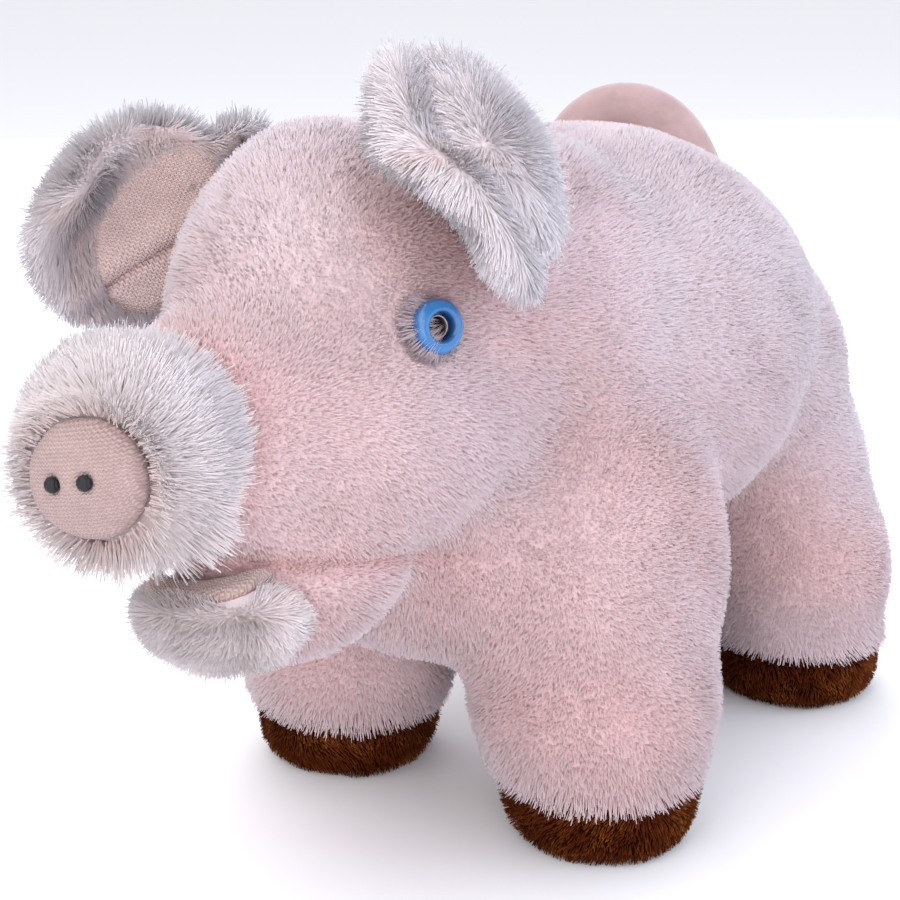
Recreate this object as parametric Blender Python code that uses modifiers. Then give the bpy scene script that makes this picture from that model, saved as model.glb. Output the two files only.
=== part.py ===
"""A stuffed plush toy pig that stands on its four feet, its head cocked a little to one side.

Metres, +Z up.  The nose points to -Y and the pig's left side is +X.  The origin is on the floor
under the middle of the toy.  Every solid reaches out to the tips of its pile.
"""
import math

import bmesh
import bpy
from mathutils import Matrix, Vector

# ---------------------------------------------------------------- driving sizes
GAP = 0.00035                  # clearance between two pieces that touch
TRUNK_MIDDLE = (0.0008, 0.0524, 0.0)     # floor point between the four feet

FRONT_FOOT = (0.0395, -0.0545)         # a foot's middle, out and back from the trunk's middle
HIND_FOOT = (0.0375, 0.0530)
HOOF_HEIGHT = 0.018            # brown plush, from the floor to the pink edge
LEG_TOP = 0.042                # where the legs are parted from the trunk

HEAD_PIVOT = (0.002, -0.120, 0.124)    # middle of the head, from the trunk's middle
HEAD_TILT = math.radians(-11)  # raises the left ear and lowers the right one
HEAD_NOD = math.radians(-2)    # raises the nose
HEAD_YAW = math.radians(2)     # turns the nose towards the pig's left
NECK_CUT = ((0, -0.080, 0.118), (0, -1, 0.10))      # trunk frame: point, forward normal
THROAT_CUT = ((0, -0.008, -0.043), (0, -0.22, -1))  # head frame: point, downward normal

VOXEL = 0.0028                 # grain of the joined flesh before it is thinned
SMOOTH_ROUNDS = 22             # rounds of smoothing over the joints between forms
FLESH_KEPT = 0.063             # share of the flesh faces kept when it is thinned

# ---------------------------------------------------------------- forms: name, middle, radii
TRUNK_FORMS = (
    ("barrel", (0, -0.007, 0.108), (0.059, 0.076, 0.056)),
    ("rump", (0, 0.039, 0.093), (0.053, 0.042, 0.045)),
    ("nape", (0, -0.052, 0.121), (0.051, 0.052, 0.049)),
    ("neck", (0, -0.086, 0.125), (0.045, 0.048, 0.048)),
    ("breast", (0, -0.070, 0.083), (0.046, 0.043, 0.040)),
)
# One leg, standing over its foot's middle.
FRONT_LEG_FORMS = (
    ("sole", (0, 0, 0.012), (0.0256, 0.0256, 0.019)),
    ("shank", (-0.002, -0.001, 0.038), (0.031, 0.0305, 0.032)),
    ("shoulder", (-0.005, 0, 0.068), (0.034, 0.035, 0.048)),
)
HIND_LEG_FORMS = (
    ("sole", (0, 0, 0.012), (0.0256, 0.0256, 0.019)),
    ("shank", (-0.002, -0.001, 0.038), (0.0285, 0.0275, 0.032)),
    ("ham", (-0.009, -0.005, 0.060), (0.029, 0.029, 0.040)),
)
# The head, from its pivot.
HEAD_FORMS = (
    ("skull", (0, 0.018, 0.005), (0.0385, 0.043, 0.0480)),
    ("cheeks", (0, 0.008, -0.012), (0.041, 0.046, 0.034)),
    ("face", (0, -0.026, -0.008), (0.0275, 0.031, 0.0275)),
    ("chin", (0, -0.012, -0.039), (0.025, 0.031, 0.021)),
)

SNOUT_MIDDLE = (0, -0.0560, -0.0053)    # middle of the muzzle's plush ring
SNOUT_TURN = math.radians(8)            # the nose is sewn on turned to the pig's left
MUZZLE_RADII = (0.0240, 0.0145, 0.0222)
PAD_MIDDLE = (0, -0.0111, -0.0029)      # domed knit end of the nose, from the snout's middle
PAD_RADII = (0.0131, 0.0072, 0.0118)
NOSTRIL_MIDDLE = (0.0037, -0.0177, -0.0025)
NOSTRIL_RADII = (0.0016, 0.0014, 0.0016)
JAW_MIDDLE = (0, -0.033, -0.043)
JAW_RADII = (0.0190, 0.0190, 0.0105)
MOUTH_MIDDLE = (0, -0.036, -0.0345)
MOUTH_RADII = (0.0160, 0.0165, 0.0060)
EYE_MIDDLE = (0.0376, -0.0010, 0.0075)
EYE_RADII = (0.0030, 0.0067, 0.0069)
EYE_TURN = math.radians(22)             # each eye looks a little forward
EYE_DISH_MIDDLE = (0.0040, 0, 0)        # hollow of the disc that the pupil stands in
EYE_DISH_RADII = (0.0042, 0.0040, 0.0041)
PUPIL_MIDDLE = (-0.0004, 0, 0)          # from the eye's middle, as the hollow
PUPIL_RADII = (0.0018, 0.0023, 0.0025)

EARS = (        # name, side, middle of its open side, its turn down, its top's lean inwards
    ("left", 1, (0.0428, -0.001, 0.0350), math.radians(25), math.radians(10)),
    ("right", -1, (0.0395, 0.002, 0.0322), math.radians(33), math.radians(20)),
)
EAR_RADII = (0.024, 0.0285, 0.0318)     # depth of the cup, half width, half height
EAR_FULLNESS = 0.62                     # below 1 makes the cup boxier than half a ball
EAR_WALL = 0.0105                       # thickness of the cup with its pile
EAR_MOUTH = 0.92                        # the rim is this much narrower than the cup behind it
EAR_LOBE_MIDDLE = (-0.0040, -0.0160, 0.0175)    # fold at the ear's inner top, from its middle
EAR_LOBE_RADII = (0.0085, 0.0105, 0.0135)
EAR_FACING = math.radians(216)          # where the open side looks, seen from above
EAR_SEGMENTS = 10
EAR_RINGS = 6
EAR_CUT = 0.1                           # of the ball's radius: all in front of this is open
LINING_REACH = 0.56                     # share of the ear's open side that the knit fills
LINING_THICKNESS = 0.0012
LINING_LEAN = 0.05                      # faces of the cup that look less far out carry no knit

TAIL_WELD = 1e-5                        # joins the tube's end caps to its side
TAIL_PATH = (   # middle of the curl from its root inside the rump, with the tube's radius
    (-0.002, 0.058, 0.110, 0.0085),
    (-0.012, 0.078, 0.130, 0.0082),
    (-0.024, 0.083, 0.149, 0.0078),
    (-0.040, 0.080, 0.1555, 0.0075),
    (-0.055, 0.076, 0.147, 0.0072),
    (-0.060, 0.073, 0.130, 0.0064),
)
TAIL_STEPS = 3                          # straight steps between two points of the path

FABRIC_COLOURS = {
    "pink_plush": (0.84, 0.60, 0.58),
    "white_plush": (0.88, 0.78, 0.76),
    "brown_plush": (0.17, 0.055, 0.015),
    "peach_knit": (0.74, 0.48, 0.40),
    "peach_velour": (0.74, 0.48, 0.40),
    "black_thread": (0.01, 0.01, 0.012),
}
PLASTIC_COLOURS = {
    "blue_plastic": (0.05, 0.24, 0.55),
    "black_plastic": (0.005, 0.005, 0.006),
}
FABRIC_ROUGHNESS = 0.95
PLASTIC_ROUGHNESS = 0.12
SHARP_ANGLE = math.radians(40)

# ---------------------------------------------------------------- frames
TRUNK_FRAME = Matrix.Translation(TRUNK_MIDDLE)
HEAD_FRAME = (
    TRUNK_FRAME
    @ Matrix.Translation(HEAD_PIVOT)
    @ Matrix.Rotation(HEAD_YAW, 4, "Z")
    @ Matrix.Rotation(HEAD_NOD, 4, "X")
    @ Matrix.Rotation(HEAD_TILT, 4, "Y")
)
SNOUT_FRAME = (
    HEAD_FRAME @ Matrix.Translation(SNOUT_MIDDLE) @ Matrix.Rotation(SNOUT_TURN, 4, "Z")
)
SIDES = (("left", 1), ("right", -1))
LEGS = (("front", FRONT_FOOT, FRONT_LEG_FORMS), ("hind", HIND_FOOT, HIND_LEG_FORMS))


# ---------------------------------------------------------------- scene and materials
def clear_scene():
    for obj in list(bpy.data.objects):
        bpy.data.objects.remove(obj, do_unlink=True)


def make_material(name, colour, roughness):
    material = bpy.data.materials.new(name)
    material.use_nodes = True
    shader = material.node_tree.nodes["Principled BSDF"]
    shader.inputs["Base Color"].default_value = (*colour, 1)
    shader.inputs["Roughness"].default_value = roughness
    shader.inputs["Metallic"].default_value = 0.0
    material.diffuse_color = (*colour, 1)
    return material


# ---------------------------------------------------------------- tools on solids
def face_outwards(obj):
    """Points every face of a closed mesh outwards."""
    skin = bmesh.new()
    skin.from_mesh(obj.data)
    bmesh.ops.recalc_face_normals(skin, faces=skin.faces)
    skin.to_mesh(obj.data)
    skin.free()
    return obj


def ball(name, middle, radii, frame, segments=32, rings=20):
    """A sphere stretched to three radii, laid into the world through a frame."""
    bpy.ops.mesh.primitive_uv_sphere_add(segments=segments, ring_count=rings, radius=1)
    obj = bpy.context.object
    obj.name = name
    obj.data.transform(frame @ Matrix.Translation(middle) @ Matrix.Diagonal((*radii, 1)))
    return face_outwards(obj)


def bake(obj):
    """Turns an object's modifiers into its plain mesh."""
    graph = bpy.context.evaluated_depsgraph_get()
    mesh = bpy.data.meshes.new_from_object(obj.evaluated_get(graph))
    obj.modifiers.clear()
    obj.data = mesh
    return obj


def copy_of(obj, name):
    copy = bpy.data.objects.new(name, obj.data.copy())
    bpy.context.collection.objects.link(copy)
    return copy


def grown(obj, amount=GAP):
    """A copy of a solid with its surface moved outwards."""
    copy = copy_of(obj, obj.name + "_grown")
    skin = bmesh.new()
    skin.from_mesh(copy.data)
    skin.normal_update()
    for vert in skin.verts:
        vert.co += vert.normal * amount
    skin.to_mesh(copy.data)
    skin.free()
    return copy


def combine(obj, other, operation):
    """Boolean of one solid with another, which it uses up."""
    step = obj.modifiers.new("combine", "BOOLEAN")
    step.operation = operation
    step.solver = "EXACT"
    step.object = other
    bake(obj)
    bpy.data.objects.remove(other, do_unlink=True)
    return obj


def keep_clear(obj, *neighbours):
    """Cuts a solid back so that it stays clear of its neighbours."""
    for neighbour in neighbours:
        combine(obj, grown(neighbour), "DIFFERENCE")
    return obj


def keep_side(obj, point, normal, clearance=GAP / 2):
    """Keeps the side of a solid that a plane's normal points to, and closes the cut."""
    normal = Vector(normal).normalized()
    skin = bmesh.new()
    skin.from_mesh(obj.data)
    everything = skin.verts[:] + skin.edges[:] + skin.faces[:]
    bmesh.ops.bisect_plane(
        skin, geom=everything, plane_co=Vector(point) + normal * clearance,
        plane_no=normal, clear_inner=True, dist=1e-7)
    rim = [edge for edge in skin.edges if edge.is_boundary]
    bmesh.ops.triangle_fill(skin, edges=rim, use_beauty=True, normal=-normal)
    bmesh.ops.recalc_face_normals(skin, faces=skin.faces)
    skin.to_mesh(obj.data)
    skin.free()
    return obj


def part_in_two(obj, name, point, normal, frame=TRUNK_FRAME):
    """Parts a solid at a plane.  The new object is the side that the normal points to."""
    point = frame @ Vector(point)
    normal = frame.to_3x3() @ Vector(normal)
    other = copy_of(obj, name)
    keep_side(other, point, normal)
    keep_side(obj, point, -normal)
    return other


def keep_largest(obj):
    """Drops the crumbs that a cut leaves, and keeps the largest connected piece."""
    skin = bmesh.new()
    skin.from_mesh(obj.data)
    left = set(skin.verts)
    islands = []
    while left:
        front = [left.pop()]
        island = set(front)
        while front:
            for edge in front.pop().link_edges:
                for vert in edge.verts:
                    if vert in left:
                        left.discard(vert)
                        island.add(vert)
                        front.append(vert)
        islands.append(island)
    largest = max(islands, key=len)
    crumbs = [vert for vert in skin.verts if vert not in largest]
    bmesh.ops.delete(skin, geom=crumbs, context="VERTS")
    skin.to_mesh(obj.data)
    skin.free()
    return obj


# ---------------------------------------------------------------- flesh
def build_flesh():
    """Trunk, legs and head in one closed skin that stands flat on the floor."""
    pieces = [ball(name, middle, radii, TRUNK_FRAME) for name, middle, radii in TRUNK_FORMS]
    pieces += [ball(name, middle, radii, HEAD_FRAME) for name, middle, radii in HEAD_FORMS]
    for _, side in SIDES:
        for _, foot, forms in LEGS:
            frame = TRUNK_FRAME @ Matrix.Translation((side * foot[0], foot[1], 0))
            frame = frame @ Matrix.Diagonal((side, 1, 1, 1))
            pieces += [ball(name, middle, radii, frame) for name, middle, radii in forms]
    bpy.ops.object.select_all(action="DESELECT")
    for piece in pieces:
        piece.select_set(True)
    bpy.context.view_layer.objects.active = pieces[0]
    bpy.ops.object.join()
    flesh = bpy.context.object
    flesh.name = "flesh"
    fuse = flesh.modifiers.new("fuse", "REMESH")
    fuse.mode = "VOXEL"
    fuse.voxel_size = VOXEL
    soften = flesh.modifiers.new("soften", "SMOOTH")
    soften.factor = 0.5
    soften.iterations = SMOOTH_ROUNDS
    thin = flesh.modifiers.new("thin", "DECIMATE")
    thin.ratio = FLESH_KEPT
    bake(flesh)
    return keep_side(flesh, (0, 0, 0), (0, 0, 1), clearance=0)


def part_legs(trunk):
    """Parts the four legs from the trunk, and the brown hooves from the legs."""
    legs = part_in_two(trunk, "legs", (0, 0, LEG_TOP), (0, 0, -1))
    middle = TRUNK_FRAME @ Vector((0, 0, 0))
    nodes = []
    for side_name, side in SIDES:
        for end_name, foot, _ in LEGS:
            leg = copy_of(legs, f"leg_{end_name}_{side_name}")
            keep_side(leg, middle, (side, 0, 0))
            keep_side(leg, middle, (0, foot[1], 0))
            hoof = part_in_two(leg, f"hoof_{end_name}_{side_name}", (0, 0, HOOF_HEIGHT), (0, 0, -1))
            nodes += [leg, hoof]
    bpy.data.objects.remove(legs, do_unlink=True)
    return nodes


def ear_frame(side, middle, droop, lean):
    """The middle of an ear's open side, its own +X looking out of the opening."""
    return (
        HEAD_FRAME
        @ Matrix.Diagonal((side, 1, 1, 1))
        @ Matrix.Translation(middle)
        @ Matrix.Rotation(EAR_FACING, 4, "Z")
        @ Matrix.Rotation(droop, 4, "Y")
        @ Matrix.Rotation(lean, 4, "X")
    )


def build_ear(side_name):
    """One ear in its own frame: a boxy cup, open towards +X, with a thick round rim."""
    bpy.ops.mesh.primitive_uv_sphere_add(segments=EAR_SEGMENTS, ring_count=EAR_RINGS, radius=1)
    ear = bpy.context.object
    ear.name = f"ear_{side_name}"
    ear.data.transform(Matrix.Rotation(math.pi / 2, 4, "Y"))
    skin = bmesh.new()
    skin.from_mesh(ear.data)
    front = [vert for vert in skin.verts if vert.co.x > EAR_CUT]
    bmesh.ops.delete(skin, geom=front, context="VERTS")
    for vert in skin.verts:
        vert.co.x = -max(-vert.co.x, 0) ** EAR_FULLNESS
    bmesh.ops.scale(skin, verts=skin.verts, vec=EAR_RADII)
    rim = [vert for vert in skin.verts if vert.is_boundary]
    bmesh.ops.scale(skin, verts=rim, vec=(1, EAR_MOUTH, EAR_MOUTH))
    outer = skin.faces[:]
    made = bmesh.ops.duplicate(skin, geom=skin.verts[:] + skin.edges[:] + outer)["geom"]
    inner_verts = [item for item in made if isinstance(item, bmesh.types.BMVert)]
    inner_faces = [item for item in made if isinstance(item, bmesh.types.BMFace)]
    bmesh.ops.scale(skin, verts=inner_verts, vec=[1 - EAR_WALL / radius for radius in EAR_RADII])
    bmesh.ops.reverse_faces(skin, faces=inner_faces)
    rims = [edge for edge in skin.edges if edge.is_boundary]
    bmesh.ops.bridge_loops(skin, edges=rims)
    bmesh.ops.recalc_face_normals(skin, faces=skin.faces)
    skin.to_mesh(ear.data)
    skin.free()
    round_off = ear.modifiers.new("round_off", "SUBSURF")
    round_off.levels = 1
    round_off.render_levels = 1
    return bake(ear)


def build_lining(ear, side_name):
    """The knit panel on the hollow side of an ear, still in the ear's own frame."""
    lining = copy_of(ear, f"ear_lining_{side_name}")
    skin = bmesh.new()
    skin.from_mesh(lining.data)
    skin.normal_update()
    outside = []
    for face in skin.faces:
        middle = face.calc_center_median()
        reach = math.hypot(middle.y / EAR_RADII[1], middle.z / EAR_RADII[2])
        if reach > LINING_REACH or face.normal.x < LINING_LEAN:
            outside.append(face)
    for vert in skin.verts:
        vert.co += vert.normal * GAP
    bmesh.ops.delete(skin, geom=outside, context="FACES")
    skin.to_mesh(lining.data)
    skin.free()
    cloth = lining.modifiers.new("cloth", "SOLIDIFY")
    cloth.thickness = LINING_THICKNESS
    cloth.offset = 1
    return face_outwards(bake(lining))


def build_ears(flesh):
    nodes = []
    for side_name, side, *pose in EARS:
        ear = build_ear(side_name)
        lining = build_lining(ear, side_name)
        lobe = ball(
            f"lobe_{side_name}", EAR_LOBE_MIDDLE, EAR_LOBE_RADII, Matrix.Identity(4), 14, 8)
        keep_clear(lining, lobe)
        combine(ear, lobe, "UNION")
        for piece in (ear, lining):
            piece.data.transform(ear_frame(side, *pose))
            face_outwards(piece)
            keep_clear(piece, flesh)
            keep_largest(piece)
        nodes += [ear, lining]
    return nodes


def build_tail():
    """A tapering tube that leaves the rump upwards and curls over to the pig's right."""
    curve = bpy.data.curves.new("tail", "CURVE")
    curve.dimensions = "3D"
    curve.resolution_u = TAIL_STEPS
    curve.bevel_depth = 1.0
    curve.bevel_resolution = 2
    curve.use_fill_caps = True
    spline = curve.splines.new("BEZIER")
    spline.bezier_points.add(len(TAIL_PATH) - 1)
    for knot, (x, y, z, radius) in zip(spline.bezier_points, TAIL_PATH):
        knot.co = TRUNK_FRAME @ Vector((x, y, z))
        knot.radius = radius
        knot.handle_left_type = "AUTO"
        knot.handle_right_type = "AUTO"
    bent = bpy.data.objects.new("tail_curve", curve)
    bpy.context.collection.objects.link(bent)
    graph = bpy.context.evaluated_depsgraph_get()
    tail = bpy.data.objects.new("tail", bpy.data.meshes.new_from_object(bent.evaluated_get(graph)))
    bpy.context.collection.objects.link(tail)
    bpy.data.objects.remove(bent, do_unlink=True)
    skin = bmesh.new()
    skin.from_mesh(tail.data)
    bmesh.ops.remove_doubles(skin, verts=skin.verts, dist=TAIL_WELD)
    skin.to_mesh(tail.data)
    skin.free()
    return face_outwards(tail)


# ---------------------------------------------------------------- face
def mirrored(place, side):
    return (side * place[0], place[1], place[2])


def build_snout(flesh):
    """Muzzle ring, knit nose pad with two stitched nostrils, lower jaw and mouth lining."""
    muzzle = ball("muzzle", (0, 0, 0), MUZZLE_RADII, SNOUT_FRAME, 18, 10)
    nose_pad = ball("nose_pad", PAD_MIDDLE, PAD_RADII, SNOUT_FRAME, 16, 10)
    jaw = ball("jaw", JAW_MIDDLE, JAW_RADII, HEAD_FRAME, 18, 10)
    mouth_lining = ball("mouth_lining", MOUTH_MIDDLE, MOUTH_RADII, HEAD_FRAME, 16, 8)
    nostrils = []
    for side_name, side in SIDES:
        nostril = ball(
            f"nostril_{side_name}", mirrored(NOSTRIL_MIDDLE, side), NOSTRIL_RADII, SNOUT_FRAME, 8, 6)
        nostrils.append(nostril)
    keep_clear(muzzle, flesh, nose_pad)
    keep_clear(nose_pad, *nostrils)
    keep_clear(jaw, flesh, muzzle)
    keep_clear(mouth_lining, flesh, muzzle, jaw)
    pieces = [muzzle, nose_pad, jaw, mouth_lining] + nostrils
    return [keep_largest(piece) for piece in pieces]


def build_eyes(flesh):
    """A dished blue disc with a black pupil on each side, sunk in a pocket of the head's pile."""
    nodes = []
    for side_name, side in SIDES:
        eye_frame = (
            HEAD_FRAME
            @ Matrix.Translation(mirrored(EYE_MIDDLE, side))
            @ Matrix.Rotation(-side * EYE_TURN, 4, "Z")
        )
        eye = ball(f"eye_{side_name}", (0, 0, 0), EYE_RADII, eye_frame, 16, 6)
        keep_clear(flesh, eye)
        dish_middle = mirrored(EYE_DISH_MIDDLE, side)
        combine(eye, ball("dish", dish_middle, EYE_DISH_RADII, eye_frame, 12, 6), "DIFFERENCE")
        pupil = ball(
            f"pupil_{side_name}", mirrored(PUPIL_MIDDLE, side), PUPIL_RADII, eye_frame, 10, 6)
        keep_clear(eye, pupil)
        nodes += [eye, pupil]
    return nodes


# ---------------------------------------------------------------- whole toy
NODE_MATERIALS = {
    "trunk": "pink_plush",
    "head": "pink_plush",
    "throat": "pink_plush",
    "leg": "pink_plush",
    "hoof": "brown_plush",
    "muzzle": "white_plush",
    "jaw": "white_plush",
    "ear": "white_plush",
    "ear_lining": "peach_knit",
    "mouth_lining": "peach_knit",
    "nose_pad": "peach_knit",
    "tail": "peach_velour",
    "nostril": "black_thread",
    "eye": "blue_plastic",
    "pupil": "black_plastic",
}


def material_of(node_name):
    """The material whose part name is the longest start of the node's name."""
    starts = [start for start in NODE_MATERIALS if node_name.startswith(start)]
    return NODE_MATERIALS[max(starts, key=len)]


def build_toy():
    clear_scene()
    materials = {}
    for name, colour in FABRIC_COLOURS.items():
        materials[name] = make_material(name, colour, FABRIC_ROUGHNESS)
    for name, colour in PLASTIC_COLOURS.items():
        materials[name] = make_material(name, colour, PLASTIC_ROUGHNESS)

    flesh = build_flesh()
    nodes = build_ears(flesh)
    nodes += build_snout(flesh)
    nodes += build_eyes(flesh)
    nodes.append(keep_clear(build_tail(), flesh))
    nodes += part_legs(flesh)
    head = part_in_two(flesh, "head", *NECK_CUT)
    throat = part_in_two(head, "throat", *THROAT_CUT, HEAD_FRAME)
    flesh.name = "trunk"
    nodes += [flesh, head, throat]

    toy = bpy.data.collections.new("plush_pig")
    bpy.context.scene.collection.children.link(toy)
    for node in nodes:
        node.data.name = node.name
        node.data.materials.clear()
        node.data.materials.append(materials[material_of(node.name)])
        node.data.shade_smooth()
        node.data.set_sharp_from_angle(angle=SHARP_ANGLE)
        for collection in list(node.users_collection):
            collection.objects.unlink(node)
        toy.objects.link(node)


build_toy()
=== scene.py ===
"""A stuffed plush toy pig: its sewn skin, pile, knit, thread and plastic eyes, round the solids.

Metres, +Z up.  The nose points to -Y and the pig's left side is +X.
"""

import copy
import math

import bmesh
import bpy
import numpy as np
from mathutils import Matrix, Vector, bvhtree


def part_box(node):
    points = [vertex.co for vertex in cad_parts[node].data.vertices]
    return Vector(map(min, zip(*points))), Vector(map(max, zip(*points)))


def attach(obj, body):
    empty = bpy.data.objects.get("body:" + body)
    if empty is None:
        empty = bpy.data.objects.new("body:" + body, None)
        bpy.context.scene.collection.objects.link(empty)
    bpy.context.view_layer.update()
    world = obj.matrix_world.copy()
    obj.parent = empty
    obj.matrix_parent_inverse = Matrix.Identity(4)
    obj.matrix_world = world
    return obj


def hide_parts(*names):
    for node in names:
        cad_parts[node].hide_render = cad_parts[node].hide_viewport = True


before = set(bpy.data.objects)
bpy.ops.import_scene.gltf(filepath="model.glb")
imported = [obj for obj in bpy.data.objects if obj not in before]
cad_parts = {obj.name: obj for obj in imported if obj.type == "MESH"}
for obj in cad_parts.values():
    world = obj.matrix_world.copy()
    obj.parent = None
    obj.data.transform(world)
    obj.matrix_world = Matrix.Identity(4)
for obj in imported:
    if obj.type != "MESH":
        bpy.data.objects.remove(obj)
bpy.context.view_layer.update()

# ---------------------------------------------------------------- view
CAMERA_TARGET = Vector((-0.0442, 0.0514, 0.068))
CAMERA_AZIMUTH = math.radians(36)
CAMERA_ELEVATION = math.radians(17.2)
CAMERA_DISTANCE = 0.560
CAMERA_LENS = 80

# ---------------------------------------------------------------- sizes
HOOF_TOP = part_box("hoof_front_left")[1].z
SWELL = 0.0005                 # closes the thin gaps between the solids of the flesh
SEWN_SWELL = 0.0003            # how far the muzzle, jaw and ears are swollen before smoothing
TAIL_SWELL = 0.0006

# Grain of each skin and sewn piece.
BODY_GRAIN = 0.0016
SEWN_GRAIN = 0.0010            # of the muzzle and the ears
JAW_GRAIN = 0.0009
TAIL_GRAIN = 0.0008
PAD_GRAIN = 0.00055
MOUTH_GRAIN = 0.00060
PUPIL_GRAIN = 0.00015
THREAD_GRAIN = 0.00012

# Depth of the pile, from the skin to the tips.
BODY_PILE = 0.0026
HOOF_PILE = 0.0024
EAR_PILE = 0.0046

# Tufts on each square millimetre of skin.
BODY_TUFTS = 2.5
HOOF_TUFTS = 2.5
EAR_TUFTS = 6.4
JAW_TUFTS = 8.0
MUZZLE_TUFTS = 8.5
LASH_TUFTS = 9.0

# Widths of the tufts, from the finest to the widest.
BODY_WIDTHS = (0.00032, 0.00048)
HOOF_WIDTHS = (0.00034, 0.00050)
LOOSE_WIDTHS = (0.00022, 0.00034)
LASH_WIDTHS = (0.00013, 0.00021)

# The head's own frame, from the two eyes and the nose pad.
EYE_BOXES = {side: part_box(f"eye_{side}") for side in ("left", "right")}
EYE_MIDDLES = {side: (box[0] + box[1]) / 2 for side, box in EYE_BOXES.items()}
HEAD_TILT = math.radians(-11)
HEAD_NOD = math.radians(-2)
HEAD_YAW = math.radians(2)
HEAD_TURN = (
    Matrix.Rotation(HEAD_YAW, 4, "Z")
    @ Matrix.Rotation(HEAD_NOD, 4, "X")
    @ Matrix.Rotation(HEAD_TILT, 4, "Y")
)
EYE_OFFSET = Vector((0, -0.0010, 0.0075))
EYE_TURN = math.radians(22)
HEAD_MIDDLE = (EYE_MIDDLES["left"] + EYE_MIDDLES["right"]) / 2 - HEAD_TURN.to_3x3() @ EYE_OFFSET
HEAD_FRAME = Matrix.Translation(HEAD_MIDDLE) @ HEAD_TURN
SNOUT_OFFSET = (0, -0.0560, -0.0053)
SNOUT_TURN = math.radians(8)
SNOUT_FRAME = (
    HEAD_FRAME @ Matrix.Translation(SNOUT_OFFSET) @ Matrix.Rotation(SNOUT_TURN, 4, "Z")
)
EAR_TURN = math.radians(216)
# Each ear's side, its middle in the head's frame, its droop and its lean.
EAR_POSES = {
    "left": (1, (0.0428, -0.001, 0.0350), math.radians(25), math.radians(10)),
    "right": (-1, (0.0395, 0.002, 0.0322), math.radians(33), math.radians(20)),
}


def ear_frame(side_name):
    """The middle of an ear's open side, its own +X looking out of the opening."""
    side, middle, droop, lean = EAR_POSES[side_name]
    return (
        HEAD_FRAME
        @ Matrix.Diagonal((side, 1, 1, 1))
        @ Matrix.Translation(middle)
        @ Matrix.Rotation(EAR_TURN, 4, "Z")
        @ Matrix.Rotation(droop, 4, "Y")
        @ Matrix.Rotation(lean, 4, "X")
    )


# ---------------------------------------------------------------- arrays
NOISE_WAVES = 7


def unit(vectors):
    return vectors / np.maximum(np.linalg.norm(vectors, axis=1, keepdims=True), 1e-9)


def into(matrix, points):
    """Points of the world seen in a frame."""
    turned = np.array(matrix.inverted())
    return points @ turned[:3, :3].T + turned[:3, 3]


def out_of(matrix, points):
    """Points of a frame seen in the world."""
    turned = np.array(matrix)
    return points @ turned[:3, :3].T + turned[:3, 3]


def turn(matrix, vectors):
    """Directions of a frame seen in the world."""
    return vectors @ np.array(matrix)[:3, :3].T


def facing_in(matrix, vectors):
    """Directions of the world seen in a frame."""
    return vectors @ np.array(matrix)[:3, :3]


def soft_noise(points, size, seed):
    """A smooth random vector at each point, about 1 long, that changes over the given size."""
    rng = np.random.default_rng(seed)
    total = np.zeros_like(points)
    for _ in range(NOISE_WAVES):
        waves = rng.normal(size=(3, 3)) * (2.2 / size)
        shift = rng.uniform(0, 2 * math.pi, 3)
        total += np.sin(points @ waves.T + shift) * rng.normal(size=3)
    return total / math.sqrt(NOISE_WAVES / 2)


def step(low, high, values):
    """0 below low, 1 above high, and a smooth rise between them."""
    share = np.clip((values - low) / (high - low), 0, 1)
    return share * share * (3 - 2 * share)


def points_of(mesh, field="co"):
    """The places of a mesh's vertices, or their normals."""
    values = np.empty(len(mesh.vertices) * 3, np.float32)
    mesh.vertices.foreach_get(field, values)
    return values.reshape(-1, 3).astype(float)


def move_to(mesh, places):
    """Puts a mesh's vertices at the places."""
    mesh.vertices.foreach_set("co", places.astype(np.float32).ravel())
    mesh.update()


def place_local(obj, matrix, local):
    """Puts a piece's vertices at places given in a frame."""
    move_to(obj.data, out_of(matrix, local))


# ---------------------------------------------------------------- materials
def blank_material(name, roughness, specular):
    material = bpy.data.materials.new(name)
    material.use_nodes = True
    tree = material.node_tree
    shader = tree.nodes["Principled BSDF"]
    shader.inputs["Roughness"].default_value = roughness
    shader.inputs["Specular IOR Level"].default_value = specular
    return material, tree, shader


def add_sheen(shader, weight, roughness, tint):
    shader.inputs["Sheen Weight"].default_value = weight
    shader.inputs["Sheen Roughness"].default_value = roughness
    shader.inputs["Sheen Tint"].default_value = (*tint, 1)


def read_attribute(tree, name):
    node = tree.nodes.new("ShaderNodeAttribute")
    node.attribute_name = name
    return node.outputs["Fac"]


def mix_colours(tree, factor, first, second, blend="MIX"):
    """A Mix node.  Factor and colours are sockets or plain values."""
    node = tree.nodes.new("ShaderNodeMix")
    node.data_type = "RGBA"
    node.blend_type = blend
    node.clamp_factor = True
    for number, value in ((0, factor), (6, first), (7, second)):
        socket = node.inputs[number]
        if isinstance(value, bpy.types.NodeSocket):
            tree.links.new(value, socket)
        elif isinstance(value, tuple):
            socket.default_value = (*value, 1)
        else:
            socket.default_value = value
    return node.outputs[2]


def paint(tree, shader, colour):
    tree.links.new(colour, shader.inputs["Base Color"])


def multiply(tree, colour, amount):
    return mix_colours(tree, 1.0, colour, amount, "MULTIPLY")


def fade(tree, value, low, high, first, second):
    """One colour up to the low value, another from the high one."""
    return mix_colours(tree, remap(tree, value, low, high, 0, 1), first, second)


def remap(tree, value, low, high, new_low, new_high):
    node = tree.nodes.new("ShaderNodeMapRange")
    tree.links.new(value, node.inputs["Value"])
    node.inputs["From Min"].default_value = low
    node.inputs["From Max"].default_value = high
    node.inputs["To Min"].default_value = new_low
    node.inputs["To Max"].default_value = new_high
    return node.outputs["Result"]


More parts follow.
